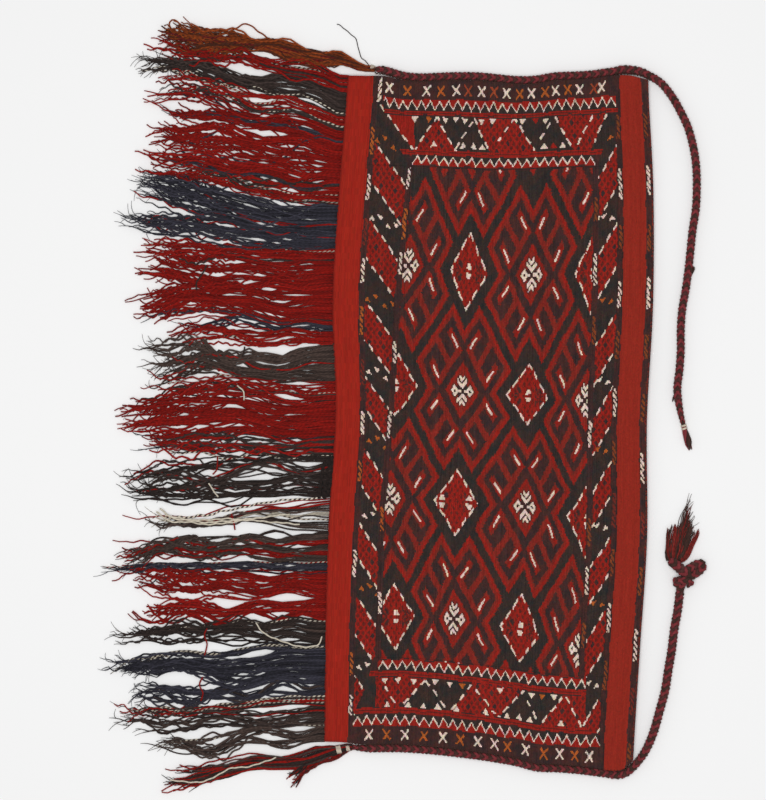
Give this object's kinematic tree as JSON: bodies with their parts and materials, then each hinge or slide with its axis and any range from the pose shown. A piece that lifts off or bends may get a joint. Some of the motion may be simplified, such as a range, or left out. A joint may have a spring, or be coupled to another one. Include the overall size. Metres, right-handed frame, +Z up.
{
  "type": "woven storage bag",
  "caption": "Flat-woven woollen storage bag lying flat, its patterned cloth folded double with a long fringe on the fold and braided ties at the corners of its open mouth.",
  "frame": {"origin": "on the ground under the middle of the bag's flat back", "axes": "+X from the fringed fold towards the mouth, +Y along the bag's width, +Z up out of the patterned front"},
  "size_m": [0.8781, 1.1132, 0.0225],
  "materials": {
    "brocaded_cloth": "wool flat-weave, red bands with brocade in red, brown-black, ivory and orange",
    "red_fringe": "loose two-ply red wool",
    "black_fringe": "loose two-ply black wool",
    "navy_fringe": "loose two-ply navy wool",
    "brown_fringe": "loose two-ply dark brown wool",
    "white_yarn": "undyed ivory wool",
    "braid": "round braid of dark red and brown-black wool",
    "rust_tassel": "loose rust-orange wool"
  },
  "bodies": {
    "root": {"bag_cloth": "brocaded_cloth", "fringe_lock_01": "red_fringe", "fringe_lock_02": "black_fringe", "fringe_lock_03": "black_fringe", "fringe_lock_04": "red_fringe", "fringe_lock_05": "red_fringe", "fringe_lock_06": "navy_fringe", "fringe_lock_07": "red_fringe", "fringe_lock_08": "red_fringe", "fringe_lock_09": "navy_fringe", "fringe_lock_10": "brown_fringe", "fringe_lock_11": "red_fringe", "fringe_lock_12": "red_fringe", "fringe_lock_13": "black_fringe", "fringe_lock_14": "black_fringe", "fringe_lock_15": "brown_fringe", "fringe_lock_16": "brown_fringe", "fringe_lock_17": "navy_fringe", "fringe_lock_18": "red_fringe", "fringe_lock_19": "black_fringe", "fringe_lock_20": "navy_fringe", "fringe_lock_21": "white_yarn", "fringe_lock_22": "brown_fringe", "side_braid_upper": "braid", "side_braid_lower": "braid", "corner_binding_upper": "white_yarn", "corner_binding_lower": "white_yarn", "corner_tassel_upper": "rust_tassel", "corner_tassel_lower": "red_fringe", "tie_cord_upper": "braid", "tie_whipping_upper": "white_yarn", "tie_tuft_upper": "red_fringe", "tie_cord_lower": "braid", "tie_knot_lower": "braid", "tie_tassel_lower": "red_fringe"}
  },
  "joints": []
}
